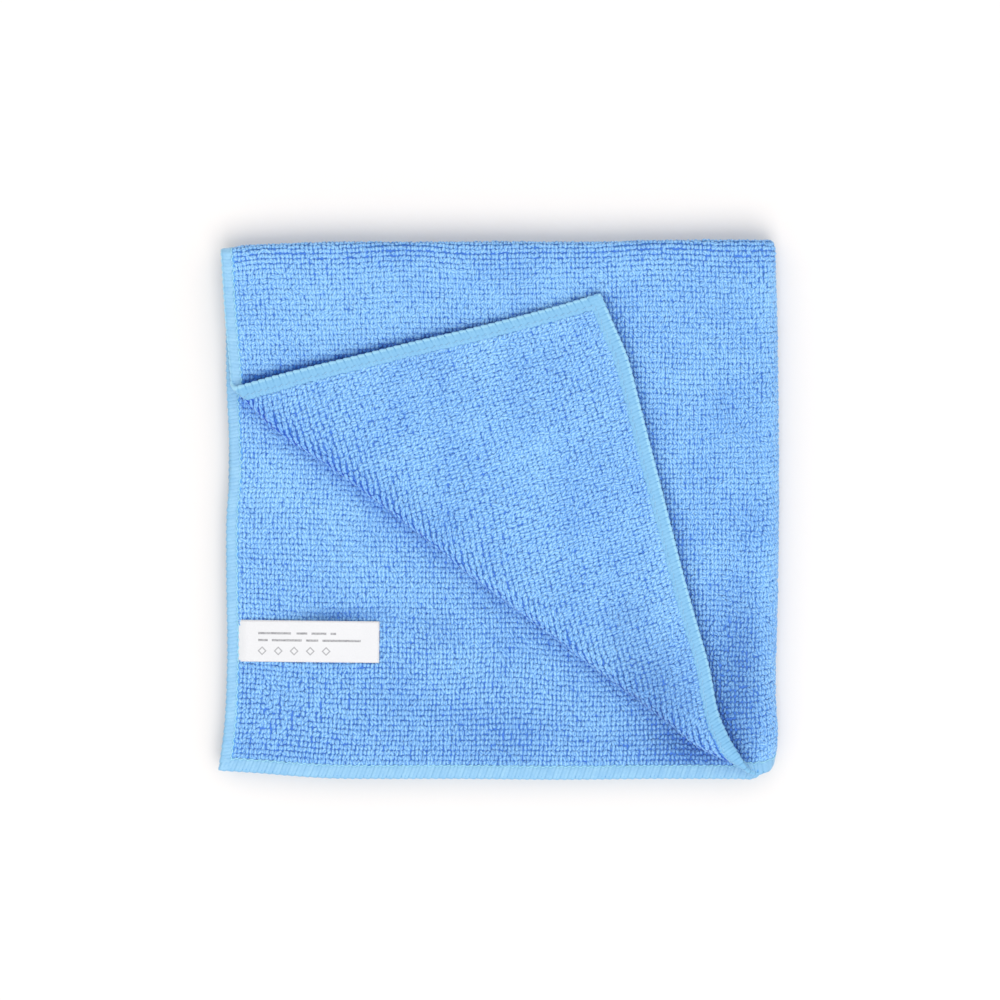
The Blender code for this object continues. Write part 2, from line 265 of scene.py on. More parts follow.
def closedSheet(index, high, low, flipped=False):
    # faces and map of a thin closed sheet. index numbers its first face's points in rows and
    # columns, and the second face's are numbered on from them; high and low are their map places
    size = index.size
    upper = np.stack((index[:-1, :-1], index[:-1, 1:], index[1:, 1:], index[1:, :-1]), -1).reshape(-1, 4)
    rim = np.concatenate((index[:-1, 0], index[-1, :-1], index[:0:-1, -1], index[0, :0:-1]))
    after = np.roll(rim, -1)
    edge = np.stack((rim, after, after + size, rim + size), -1)
    start = np.arange(len(rim)) / len(rim)
    end = start + 1 / len(rim)
    down = np.broadcast_to((0.97, 0.97, 0.99, 0.99), edge.shape)
    strip = np.stack((np.stack((start, end, end, start), -1), down), -1)
    if flipped:
        upper, edge, strip = upper[:, (0, 3, 2, 1)], edge[:, (1, 0, 3, 2)], strip[:, (1, 0, 3, 2)]
    lower = upper[:, ::-1]
    uvs = np.concatenate((high[upper.ravel()], low[lower.ravel()], strip.reshape(-1, 2)))
    return (upper, lower + size, edge), uvs


def makeMesh(name, points, faces, uvs, values, material):
    # faces are arrays of one width each; uvs are rows for each corner
    mesh = bpy.data.meshes.new(name)
    counts = np.concatenate([np.full(len(f), f.shape[1]) for f in faces])
    corners = np.concatenate([f.ravel() for f in faces])
    mesh.vertices.add(len(points))
    mesh.loops.add(len(corners))
    mesh.polygons.add(len(counts))
    mesh.vertices.foreach_set("co", np.asarray(points, np.float32).ravel())
    mesh.loops.foreach_set("vertex_index", corners.astype(np.int32))
    starts = np.concatenate(([0], np.cumsum(counts)[:-1]))
    mesh.polygons.foreach_set("loop_start", starts.astype(np.int32))
    layer = mesh.uv_layers.new(name="OFBake")
    layer.uv.foreach_set("vector", np.asarray(uvs, np.float32).ravel())
    for key, value in values.items():
        attribute = mesh.attributes.new(key, "FLOAT", "POINT")
        attribute.data.foreach_set("value", np.asarray(value, np.float32))
    mesh.update(calc_edges=True)
    mesh.validate()
    mesh.shade_smooth()
    mesh.materials.append(material)
    obj = bpy.data.objects.new(name, mesh)
    bpy.context.scene.collection.objects.link(obj)
    print(name, "made of", sum(len(f) * (f.shape[1] - 2) for f in faces), "triangles")
    return obj


class Wire:
    # a socket that shader maths can be written with
    def __init__(self, finish, socket):
        self.finish, self.socket = finish, socket

    def maths(self, operation, first, second):
        return self.finish.node("ShaderNodeMath", {"operation": operation}, {0: first, 1: second})

    def __add__(self, other):
        return self.maths("ADD", self, other)

    def __radd__(self, other):
        return self.maths("ADD", other, self)

    def __sub__(self, other):
        return self.maths("SUBTRACT", self, other)

    def __rsub__(self, other):
        return self.maths("SUBTRACT", other, self)

    def __mul__(self, other):
        return self.maths("MULTIPLY", self, other)

    def __rmul__(self, other):
        return self.maths("MULTIPLY", other, self)

    def __abs__(self):
        return self.maths("ABSOLUTE", self, 0)

    def __pow__(self, other):
        return self.maths("POWER", self, other)

    def __lt__(self, other):
        return self.maths("LESS_THAN", self, other)

    def __gt__(self, other):
        return self.maths("GREATER_THAN", self, other)


class Finish:
    # a material around one Principled shader
    def __init__(self, name, fixed):
        self.material = bpy.data.materials.new(name)
        self.material.use_nodes = True
        self.tree = self.material.node_tree
        self.shader = self.tree.nodes["Principled BSDF"]
        for key, value in fixed.items():
            self.shader.inputs[key].default_value = value

    def node(self, kind, settings, inputs, output=0):
        made = self.tree.nodes.new(kind)
        for key, value in settings.items():
            setattr(made, key, value)
        for key, value in inputs.items():
            self.join(value, made.inputs[key])
        return Wire(self, made.outputs[output])

    def join(self, value, socket):
        if isinstance(value, Wire):
            self.tree.links.new(value.socket, socket)
        else:
            socket.default_value = value

    def value(self, name):
        return self.node("ShaderNodeAttribute", {"attribute_name": name}, {}, "Fac")

    def where(self):
        return self.node("ShaderNodeTexCoord", {}, {}, "Object")

    def noise(self, size, detail, where):
        inputs = {"Vector": where, "Scale": 1 / size, "Detail": detail}
        return self.node("ShaderNodeTexNoise", {}, inputs)

    def sine(self, wire):
        return self.node("ShaderNodeMath", {"operation": "SINE"}, {0: wire})

    def mix(self, first, second, share, blend="MIX"):
        settings = {"data_type": "RGBA", "blend_type": blend, "clamp_factor": True}
        return self.node("ShaderNodeMix", settings, {0: share, 6: first, 7: second}, 2)

    def between(self, value, low, high, kind="LINEAR"):
        # 0 at the low value to 1 at the high one, and no further
        inputs = {"Value": value, "From Min": low, "From Max": high}
        return self.node("ShaderNodeMapRange", {"interpolation_type": kind}, inputs)

    def bump(self, height, depth):
        return self.node("ShaderNodeBump", {}, {"Height": height, "Distance": depth, "Strength": 1.0})

    def feed(self, key, wire):
        self.join(wire, self.shader.inputs[key])


def color(red, green, blue):
    return (red, green, blue, 1)


# camera

view = {
    "lens": 200,
    "sensor": 36,
    "width": 365.6 * mm,  # of the photograph's frame, on the cloth
    "middle": (0.73 * mm, 3.47 * mm, 9 * mm),
    "farthest": 20,
}


def makeCamera():
    data = bpy.data.cameras.new("camera")
    data.lens = view["lens"]
    data.sensor_width = view["sensor"]
    data.clip_end = view["farthest"]
    camera = bpy.data.objects.new("camera", data)
    x, y, z = view["middle"]
    camera.location = (x, y, z + view["width"] * view["lens"] / view["sensor"])
    bpy.context.scene.collection.objects.link(camera)
    bpy.context.scene.camera = camera
    print("camera straight above at", round(camera.location.z, 2), "m")


makeCamera()

# looped pile

pile = {
    "walePitch": 1.46 * mm,
    "rowPitch": 1.85 * mm,
    "foot": 0.42 * mm,  # height of the loops' feet over the middle of the sheet
    "sink": 0.25 * mm,  # how far they reach down into the ground
    "height": 0.86 * mm,
    "feet": 0.70,  # of a pitch, to each side
    "shoulder": 0.55,  # of the height
    "round": 0.28,  # 0 is a round loop, 1 a square one
    "heightVaries": 0.13,
    "sizeVaries": 0.07,
    "ringVaries": 0.16,  # of the size, from one side of a loop to the next
    "ringRises": 0.13 * mm,
    "lean": 0.17 * mm,
    "warp": 0.30 * mm,  # how far the rows and wales wander
    "loose": 0.05 * mm,  # and the loops among their neighbours
    "ruffled": 0.22 * mm,  # and how much more so where the pile is ruffled
    "ruffleTilt": 0.3,  # how much further they are turned there, in radians
    "hemCalm": 12 * mm,  # how far from the hems the pile is still straight
    "hollowed": 0.45,  # of the height
    "spreadAt": 0.6,  # of the height, where the spread of a bend is measured
    "leastSpread": 0.8,
    "mostSpread": 2.0,
    "creaseReach": 13 * mm,  # how far past the roll's start its rows stand open
    "creaseOpen": 0.34,
    "creaseWiden": 0.4,  # share of that by which the loops are wider there
    "creaseEven": 0.6,  # how much less they are turned there
    "creaseTwist": 72,  # how far the strands turn there, in degrees
    "creaseDark": 0.5,  # how much more of a loop is in the valleys' painted shade there
    "creaseDarkReach": 9 * mm,
    "openDark": 2.5,  # the same for each share that the pile is open
    "mostDark": 0.6,
    "foldReach": 9 * mm,  # how far from the upper fold its rows stand open
    "foldOpen": 0.29,
    "strand": 1.0 * mm,  # from one strand of a loop's yarn to the next
    "toneVaries": 0.35,
    "toneDrifts": 0.5,
    # the faces that carry pile, and what differs from one to the next
    "name": ("top", "flap", "second", "under_right", "under_left"),
    "faces": {
        "side": (1, -1, -1, 1, 1),  # of the sheet
        "sides": (8, 8, 8, 5, 5),  # of a loop
        "across": (0.535, 0.625, 0.53, 0.6, 0.6),  # a loop's shoulder, in pitches
        "down": (0.605, 0.58, 0.59, 0.64, 0.64),
        "stray": (0.075, 0.13, 0.06, 0.1, 0.1),  # in mm
        "tilt": (0.16, 0.32, 0.14, 0.2, 0.2),  # how far the loops are turned, in radians
        "follow": (0.9, 0.3, 0.9, 1, 1),  # how much the loops follow the spread of a bend
        "sideHem": (4.3, 5.4, 4.3, 4.5, 4.5),  # where the pile ends, in mm from the edge
        "footHem": (5.0, 5.2, 4.9, 5.0, 5.0),
        "sideBend": (1.9, 1, 1, 1.9, 1.9),  # how much longer a fold is at the loops' tips
        "upperBend": (1.7, 1, 1, 1.7, 1.7),
        "twist": (0, 28, 0, 0, 0),  # which way the strands run, in degrees
        "twistVaries": (38, 26, 28, 30, 30),
    },
    # where the pile lies hollow, ruffled, open, paler or in shade, in mm on the folded cloth
    "patches": (
        {"on": "top", "at": (88, -62), "reach": (9, 28),
         "hollow": 0.4, "ruffle": 0.5, "open": 0.12, "shade": 0.44},
        {"on": "top", "at": (74, -86), "reach": (9, 12),
         "hollow": 0.2, "ruffle": 0.4, "open": 0.12, "shade": 0.34},
        {"on": "top", "at": (-75, 88), "reach": (26, 10), "pale": 1.6},
        # painted sheen along the rim of the side fold
        {"on": "top", "at": (102, 0), "reach": (8, 400), "pale": 0.3},
        {"on": "top", "at": (84, 10), "reach": (24, 75), "pale": -1.1},
        {"on": "top", "at": (0, 97), "reach": (400, 6), "open": 0.03, "shade": 0.05},
        {"on": "flap", "at": (-20, 10), "reach": (140, 110), "pale": -0.8},
        {"on": "flap", "at": (57, -60.3), "reach": (6, 7), "hollow": 0.35, "ruffle": 0.1, "shade": 0.1},
        {"on": "flap", "at": (47, -42), "reach": (8, 14), "hollow": 0.15, "ruffle": 0.1, "shade": 0.18},
        {"on": "flap", "at": (54, -72), "reach": (20, 20), "open": 0.02, "shade": 0.38},
        {"on": "second", "at": (-87, -82.5), "reach": (8, 8), "hollow": 0.3, "ruffle": 0.3},
        {"on": "second", "at": (-24.9, -44), "reach": (9, 8),
         "hollow": 0.25, "ruffle": 0.3, "open": 0.03, "shade": 0.1},
        {"on": "second", "at": (0.7, -84.3), "reach": (14, 9),
         "hollow": 0.25, "ruffle": 0.3, "open": 0.03, "shade": 0.1},
        {"on": "second", "at": (-80, -76), "reach": (22, 16), "ruffle": 0.8, "open": 0.02},
        {"on": "second", "at": (-60, -38.6), "reach": (15, 2.4), "hollow": 0.7, "shade": 0.6},
        {"on": "second", "at": (0, -90), "reach": (250, 50), "open": 0.06, "shade": 0.07},
        {"on": "second", "at": (71, -85), "reach": (15, 9),
         "hollow": 0.4, "ruffle": 0.5, "open": 0.11, "shade": 0.48},
        {"on": "second", "at": (-94.6, -48), "reach": (1.6, 6.8), "hollow": 1.5},
        {"on": "second", "at": (-82, 14), "reach": (13, 34), "pale": 1.0},
    ),
    # how deep the pile lies in shade beside the crease and the turned corner's hems, and how far
    "creaseShade": {"flap": 0.5, "second": 0.75},
    "creaseShadeReach": 6 * mm,
    "aboveHem": ((0.75, 1.8 * mm), (0.06, 7 * mm)),
    "hemFade": 85 * mm,  # along the upper hem, from the crease
    "besideHem": ((0.30, 2.4 * mm), (0.08, 6 * mm)),
    "openBesideHem": (0.12, 5 * mm),
    # where the pile of each face ends
    "foldLap": 4 * mm,  # how far it runs on round the upper fold
    "sideLap": 2 * mm,
    "inRoll": 0.5 * mm,  # how far past the crease the top's runs on, inside the roll
    "inRollEnds": 6 * mm,  # and within the roll's ends, which show it
    "rollMiddle": 108 * mm,
    "rollHalf": 98 * mm,
    "beforeRoll": 1.5 * mm,  # how far before the crease the turned corner's starts
    "underHems": 6 * mm,  # how far in under the turned corner the top's runs on
    "underRoll": 2 * mm,
    "cornerLow": -72 * mm,  # nothing of the top's is left out below this
    "secondUnder": 9 * mm,  # how far in under the roll the second layer's runs on
    "underSplit": -100 * mm,  # where the underside's is cut into two pieces
    # colours
    # painted shade in the valleys between the loops, from deep blue to teal
    "valleyShadeColor": color(0.025, 0.11, 0.43),
    "tealValleyShade": color(0.035, 0.18, 0.40),
    "tealSize": 2.2 * mm,
    # a bluer painted shade for the valleys beside the crease, and how strongly it comes in
    "creaseValleyShade": color(0.015, 0.08, 0.58),
    "creaseBlue": 2,
    "deep": color(0.075, 0.26, 0.69),
    "tip": color(0.205, 0.475, 0.84),
    # partly fibre grain, partly painted highlight: the loops grow paler toward their tips
    "pale": color(0.35, 0.645, 0.925),
    "paintedCreaseShade": color(0.42, 0.60, 0.93),  # what the painted shade along the crease multiplies a colour by
    "shaded": color(0.07, 0.25, 0.54),  # and full shade
    "valleyShade": 1.4,  # how much of the shade the valleys and the tips get
    "tipShade": 0.8,
    "dark": (0.18, 0.52),  # share of a loop's height over which the valleys' painted shade ends
    "fibre": 0.45 * mm,
    "fibreRange": (0.34, 0.66),
    "fibreDepth": 0.17 * mm,
    "fibreShare": 0.5,
    "strandShare": 0.3,
    "evenShare": 0.25,
    "toneShare": 0.15,
    "evenTip": 0.08,  # share of the tip's colour, before the fleck's
    "fleckTip": 1.1,
    "paleShare": 1.15,
    "roughness": 0.92,
    "sheen": 0.25,
    "sheenRoughness": 0.45,
    "sheenTint": color(0.86, 0.93, 1.0),
}

warpU, warpV = waves(9, 22 * mm, 70 * mm, 3), waves(9, 22 * mm, 70 * mm, 4)
ruffleU, ruffleV = waves(14, 3.2 * mm, 8 * mm, 5), waves(14, 3.2 * mm, 8 * mm, 6)
toneField = waves(12, 12 * mm, 60 * mm, 7)


def fromFlap(points):
    # how far places on the folded cloth lie above the turned corner's upper hem, beside its other
    # hem, past the crease and along the upper hem
    steps = 60
    hem = place(np.linspace(sheet["hemTurns"], halfWidth, steps), np.full(steps, halfLength), 0.0)
    start, tip = np.array(sheet["creaseStart"]), hem[-1, :2]
    edge = (tip - start) / np.linalg.norm(tip - start)
    order = np.argsort(hem[:, 1])
    fromStart = points[:, :2] - start
    return {
        "above": fromStart @ np.array((-edge[1], edge[0])),
        "beside": points[:, 0] - np.interp(points[:, 1], hem[order, 1], hem[order, 0]),
        "past": fromStart @ creaseOut,
        "along": fromStart @ edge,
    }


def patchValue(face, key, points):
    return softRounds(pile["patches"], face["name"], key, points[:, 0], points[:, 1])


def spacedPlaces(half, hem, pitch, bend, longer):
    # even steps from hem to hem, which lie closer where the outside of a bend is longer
    outside = half - hem + bend * (longer - 1)
    count = round(outside / pitch)
    reach = (np.arange(-count, count) + 0.5) * outside / count
    onBend = np.abs(reach) < bend * longer
    return np.where(onBend, reach / longer, reach - np.sign(reach) * bend * (longer - 1))


def layLoops(face, keep):
    # the wales and rows of the loops that are kept, and their places on the sheet
    stepsU = spacedPlaces(halfWidth, face["sideHem"] * mm, pile["walePitch"], sideQuarter,
                          face["sideBend"])
    stepsV = spacedPlaces(halfLength, face["footHem"] * mm, pile["rowPitch"], upperQuarter,
                          face["upperBend"])
    numbers = np.meshgrid(np.arange(len(stepsU)), np.arange(len(stepsV)), indexing="ij")
    wale, row = (number.ravel() for number in numbers)
    kept = keep(stepsU[wale], stepsV[row])
    wale, row = wale[kept], row[kept]
    return wale, row, stepsU[wale], stepsV[row]


def strayLoops(face, u, v, ruffle):
    loose = pile["loose"] + pile["ruffled"] * ruffle
    inset = np.minimum(halfWidth - np.abs(u), halfLength - np.abs(v))
    calm = np.clip((inset - face["sideHem"] * mm) / pile["hemCalm"], 0, 1)
    moveU = pile["warp"] * unevenness(warpU, u, v) + loose * unevenness(ruffleU, u, v)
    moveV = pile["warp"] * unevenness(warpV, u, v) + loose * unevenness(ruffleV, u, v)
    strayU, strayV = varied(face["stray"] * mm, 2, len(u))
    return u + calm * moveU + strayU, v + calm * moveV + strayV


def pileShade(face, points, fromHems):
    shade = patchValue(face, "shade", points)
    above, beside = fromHems["above"], fromHems["beside"]
    if face["name"] == "top":
        for depth, reach in pile["aboveHem"]:
            fading = depth * nearTo(fromHems["along"], pile["hemFade"])
            shade += fading * nearTo(np.maximum(above, 0), reach) * (beside < 0)
        for depth, reach in pile["besideHem"]:
            shade += depth * nearTo(np.maximum(beside, 0), reach) * (above < 0)
    return shade


def openPile(face, points, fromHems):
    opened = patchValue(face, "open", points)
    if face["name"] == "top":
        depth, reach = pile["openBesideHem"]
        opened += depth * nearTo(np.maximum(fromHems["beside"], 0), reach) * (fromHems["above"] < 0)
    return opened


def loopSizes(face, u, v, spreads, nearCrease, opened):
    # how much wider and longer than a pitch the loops are
    acrossSpread, downSpread = np.clip(spreads, pile["leastSpread"], pile["mostSpread"])
    wider = acrossSpread / np.where(np.abs(u) < sideQuarter, face["sideBend"], 1)
    longer = downSpread / np.where(np.abs(v) < upperQuarter, face["upperBend"], 1)
    wider = np.maximum(wider, pile["leastSpread"])
    longer = np.maximum(longer, pile["leastSpread"]) ** face["follow"]
    nearFold = (face["side"] > 0) * nearTo(v, pile["foldReach"])
    wider = wider * (1 + pile["creaseWiden"] * pile["creaseOpen"] * nearCrease)
    longer = longer * (1 - pile["creaseOpen"] * nearCrease) * (1 - pile["foldOpen"] * nearFold)
    return wider * (1 - opened), longer * (1 - opened)


def loopRings(face, wider, longer, tilt, tall):
    # a loop's points from its middle: the ring of its feet, the ring of its shoulders and its tip
    count, sides = len(tall), face["sides"]
    turn = 2 * math.pi * (np.arange(sides) + 0.5) / sides
    squared = 1 / np.maximum(np.abs(np.cos(turn)), np.abs(np.sin(turn))) ** pile["round"]
    lean = varied(pile["lean"], 2, count, 1)
    feet = (0, pile["feet"], pile["feet"])
    shoulders = (pile["shoulder"], face["across"], face["down"])
    rings = []
    for share, across, down in (feet, shoulders):
        size = 1 + varied(pile["ringVaries"], count, sides)
        size = size * (1 + (share > 0) * varied(pile["sizeVaries"], count, 1))
        x = squared * np.cos(turn) * size * wider[:, None] * across * pile["walePitch"]
        y = squared * np.sin(turn) * size * longer[:, None] * down * pile["rowPitch"]
        rises = varied(pile["ringRises"], count, sides) if share else -pile["sink"]
        rings.append((x * np.cos(tilt) - y * np.sin(tilt) + share * lean[0],
                      x * np.sin(tilt) + y * np.cos(tilt) + share * lean[1],
                      np.broadcast_to(share * tall + rises, x.shape)))
    tip = (lean[0], lean[1], tall)
    return [np.concatenate(parts, 1) for parts in zip(*rings, tip)]


def standLoops(face, u, v, patched, nearCrease, opened):
    # the points of all loops, and the same from each loop's own middle
    count, foot = len(u), face["side"] * pile["foot"]
    tip = face["side"] * (pile["foot"] + pile["spreadAt"] * pile["height"])
    here, along, down, out, spreads = facing(u, v, foot, tip)
    wider, longer = loopSizes(face, u, v, spreads, nearCrease, opened)
    tall = pile["height"] * (1 + varied(pile["heightVaries"], count))
    tall = tall * (1 - pile["hollowed"] * patched["hollow"])
    tiltMost = face["tilt"] * (1 - pile["creaseEven"] * nearCrease)
    tilt = varied(1, count) * (tiltMost + pile["ruffleTilt"] * patched["ruffle"])
    dx, dy, dz = loopRings(face, wider, longer, tilt[:, None], tall[:, None])
    points = here[:, None] + dx[..., None] * along[:, None] + dy[..., None] * down[:, None]
    points = points + dz[..., None] * out[:, None]
    points[..., 2] = np.maximum(points[..., 2], 0)  # the underside is pressed flat
    return points.reshape(-1, 3), dx, dy


def strandPhase(face, nearCrease, dx, dy):
    # where each point lies in the run of its loop's strands
    count = len(nearCrease)
    turned = face["twist"] + pile["creaseTwist"] * nearCrease
    twist = np.radians(turned + varied(face["twistVaries"], count))[:, None]
    phase = (dx * np.cos(twist) + dy * np.sin(twist)) * 2 * math.pi / pile["strand"]
    return phase + random.uniform(0, 2 * math.pi, (count, 1))


def loopFaces(count, sides, flipped):
    corner = np.arange(sides)
    after = (corner + 1) % sides
    walls = np.stack((corner, after, after + sides, corner + sides), 1)
    crown = np.stack((corner + sides, after + sides, np.full(sides, 2 * sides)), 1)
    if flipped:
        walls, crown = walls[:, ::-1], crown[:, ::-1]
    first = (np.arange(count) * (2 * sides + 1))[:, None, None]
    return (walls[None] + first).reshape(-1, 4), (crown[None] + first).reshape(-1, 3)


def loopCells(wale, row, sides):
    # each loop has its own cell of the map
    turn = 2 * math.pi * (np.arange(sides) + 0.5) / sides
    spread = np.concatenate((np.full(sides, 0.47), np.full(sides, 0.30), [0]))
    mapX = np.concatenate((np.cos(turn), np.cos(turn), [0])) * spread + 0.5
    mapY = np.concatenate((np.sin(turn), np.sin(turn), [0])) * spread + 0.5
    across = ((wale - wale.min())[:, None] + mapX) / (np.ptp(wale) + 1)
    down = ((row - row.min())[:, None] + mapY) / (np.ptp(row) + 1)
    return np.stack((across, down), -1).reshape(-1, 2)


def makePile(name, keep, material):
    column = pile["name"].index(name)
    face = {key: values[column] for key, values in pile["faces"].items()}
    face["name"] = name
    sides, onFlap = face["sides"], name == "flap"
    wale, row, u, v = layLoops(face, keep)
    flat = place(u, v, face["side"] * pile["foot"])
    patched = {key: patchValue(face, key, flat) for key in ("ruffle", "hollow", "pale")}
    fromHems = fromFlap(flat)
    opened, shade = openPile(face, flat, fromHems), pileShade(face, flat, fromHems)
    u, v = strayLoops(face, u, v, patched["ruffle"])
    past = pastCrease(*pullOutOfSquare(u, v))[1]
    nearCrease = nearTo(past, pile["creaseReach"]) * onFlap
    points, dx, dy = standLoops(face, u, v, patched, nearCrease, opened)
    strand = strandPhase(face, nearCrease, dx, dy)
    tone = varied(pile["toneVaries"], len(u)) + pile["toneDrifts"] * unevenness(toneField, u, v)
    # painted shade beside the crease, and more of each loop in the valleys' painted shade there and where
    # the pile is open
    fromCrease = past if onFlap else fromHems["past"]
    paintedCreaseShade = pile["creaseShade"].get(name, 0) * nearTo(fromCrease, pile["creaseShadeReach"])
    darker = pile["creaseDark"] * nearTo(past, pile["creaseDarkReach"]) * onFlap
    darker = np.clip(darker + pile["openDark"] * opened, 0, pile["mostDark"])
    rise = np.stack((np.zeros(len(u)), pile["shoulder"] * (1 - darker), np.ones(len(u))), 1)
    perLoop = {"tone": tone + patched["pale"], "shade": shade, "paintedCreaseShade": paintedCreaseShade}
    values = {key: np.repeat(value, 2 * sides + 1) for key, value in perLoop.items()}
    values["rise"] = np.repeat(rise, (sides, sides, 1), 1).ravel()
    values["strand"] = strand.ravel()
    walls, crown = loopFaces(len(u), sides, face["side"] < 0)
    uvs = loopCells(wale, row, sides)[np.concatenate((walls.ravel(), crown.ravel()))]
    return makeMesh("pile_" + name, points, (walls, crown), uvs, values, material)


def pileFinish():
    fixed = {"Roughness": pile["roughness"], "Sheen Weight": pile["sheen"],
             "Sheen Roughness": pile["sheenRoughness"], "Sheen Tint": pile["sheenTint"]}
    finish = Finish("looped_pile", fixed)
    where = finish.where()
    tone, rise, shade, paintedCreaseShade = (finish.value(name) for name in ("tone", "rise", "shade", "paintedCreaseShade"))
    fibre = finish.between(finish.noise(pile["fibre"], 1, where), *pile["fibreRange"])
    strands = finish.sine(finish.value("strand"))
    fleck = pile["fibreShare"] * fibre + pile["strandShare"] * strands + pile["evenShare"]
    toned = pile["toneShare"] * tone
    body = finish.mix(pile["deep"], pile["tip"], pile["evenTip"] + pile["fleckTip"] * fleck + toned)
    # painted highlight on the loops' tips, flecked by the fibre grain
    tipped = finish.mix(body, pile["pale"], fleck * rise * (pile["paleShare"] + toned))
    # painted shade: the lower part of each loop takes the valleys' darker blue
    valleyShadeColor = finish.mix(pile["valleyShadeColor"], pile["tealValleyShade"], finish.noise(pile["tealSize"], 1, where))
    # bluer painted shade in the valleys beside the crease
    valleyShadeColor = finish.mix(valleyShadeColor, pile["creaseValleyShade"], pile["creaseBlue"] * paintedCreaseShade)
    looped = finish.mix(valleyShadeColor, tipped, finish.between(rise, *pile["dark"], "SMOOTHSTEP"))
    # painted shade over the loops beside the crease
    looped = finish.mix(looped, pile["paintedCreaseShade"], paintedCreaseShade, "MULTIPLY")
    deeper = shade * (pile["valleyShade"] - (pile["valleyShade"] - pile["tipShade"]) * rise)
    finish.feed("Base Color", finish.mix(looped, pile["shaded"], deeper, "MULTIPLY"))
    finish.feed("Normal", finish.bump(fleck, pile["fibreDepth"]))
    return finish.material


def keepTop(u, v):
    along, past = pastCrease(*pullOutOfSquare(u, v))
    atRollEnds = np.abs(along - pile["rollMiddle"]) > pile["rollHalf"]
    inside = past < np.where(atRollEnds, pile["inRollEnds"], pile["inRoll"])
    inside &= (u > -pile["sideLap"]) & (v > -pile["foldLap"])
    flat = place(u, v, pile["foot"])
    fromHems = fromFlap(flat)
    hidden = (fromHems["above"] < -pile["underHems"]) & (fromHems["beside"] < -pile["underHems"])
    hidden &= (fromHems["past"] < -pile["underRoll"]) & (flat[:, 1] > pile["cornerLow"])
    return inside & ~hidden


def keepFlap(u, v):
    return (u > 0) & (v > 0) & (pastCrease(*pullOutOfSquare(u, v))[1] > -pile["beforeRoll"])


def keepSecond(u, v):
    past = fromFlap(place(u, v, -pile["foot"]))["past"]
    return (u > 0) & (v < 0) & (past > -pile["secondUnder"])


def keepUnderRight(u, v):
    return (u < 0) & (v > -pile["foldLap"]) & (u > pile["underSplit"])


def keepUnderLeft(u, v):
    return (v > -pile["foldLap"]) & (u <= pile["underSplit"])


pileMaterial = pileFinish()
keepers = (keepTop, keepFlap, keepSecond, keepUnderRight, keepUnderLeft)
piles = [makePile(name, keep, pileMaterial) for name, keep in zip(pile["name"], keepers)]

# the ground sheet

ground = {
    "fine": 2.0 * mm,  # between its lines on the top layer's side of each fold
    "coarse": 5.5 * mm,  # and on the other side
    "bend": 0.8 * mm,
    "inset": (0.3, 0.5, 0.9, 2.2, 3.6, 4.2, 5.1),  # of its outer lines from the edge, in mm
    "half": (0.45, 0.7, 0.86, 0.86, 0.86, 0.86, 0.5),  # thickness there to each side of its middle
    "knit": color(0.04, 0.15, 0.60),
    "knitPale": color(0.09, 0.26, 0.76),
    "hem": color(0.12, 0.36, 0.74),
    "hemBlend": (5.4, 4.2),  # in mm from the edge
    "rim": color(0.07, 0.24, 0.48),
    "rimBlend": (1.3, 0.7),
    "grain": 0.5 * mm,
    "grainDepth": 0.15 * mm,
    "roughness": 0.95,
}


def groundLines(half, quarter):
    hem = np.array(ground["inset"]) * mm
    inner = half - hem[-1]
    lines = []
    for side, spacing in ((-1, ground["coarse"]), (1, ground["fine"])):
        bends = np.linspace(0, quarter, math.ceil(quarter / ground["bend"]) + 1)
        spans = np.linspace(quarter, inner, round((inner - quarter) / spacing) + 1)
        lines += [side * line for line in (*bends, *spans, *(half - hem))]
    return np.unique(np.round(lines, 7))


def groundFinish():
    finish = Finish("ground_knit", {"Roughness": ground["roughness"]})
    grain = finish.noise(ground["grain"], 2, finish.where())
    inset = finish.value("inset")
    knit = finish.mix(ground["knit"], ground["knitPale"], grain)
    hem = finish.mix(knit, ground["hem"], finish.between(inset, *ground["hemBlend"]))
    rim = finish.mix(hem, ground["rim"], finish.between(inset, *ground["rimBlend"]))
    finish.feed("Base Color", rim)
    finish.feed("Normal", finish.bump(grain, ground["grainDepth"]))
    return finish.material


def makeGround():
    linesU, linesV = groundLines(halfWidth, sideQuarter), groundLines(halfLength, upperQuarter)
    u, v = (grid.ravel() for grid in np.meshgrid(linesU, linesV, indexing="ij"))
    inset = np.minimum(halfWidth - np.abs(u), halfLength - np.abs(v))
    half = np.interp(inset, np.array(ground["inset"]) * mm, np.array(ground["half"]) * mm)
    points = np.concatenate((place(u, v, half), place(u, v, -half)))
    index = np.arange(u.size).reshape(len(linesU), len(linesV))
    mapU, mapV = (u + halfWidth) / (2 * halfWidth), (v + halfLength) / (2 * halfLength)
    high = np.stack((0.49 * mapU, 0.95 * mapV), -1)
    faces, uvs = closedSheet(index, high, high + (0.5, 0))
    values = {"inset": np.tile(inset / mm, 2)}
    return makeMesh("cloth_ground", points, faces, uvs, values, groundFinish())


groundPiece = makeGround()

# overlocked hems

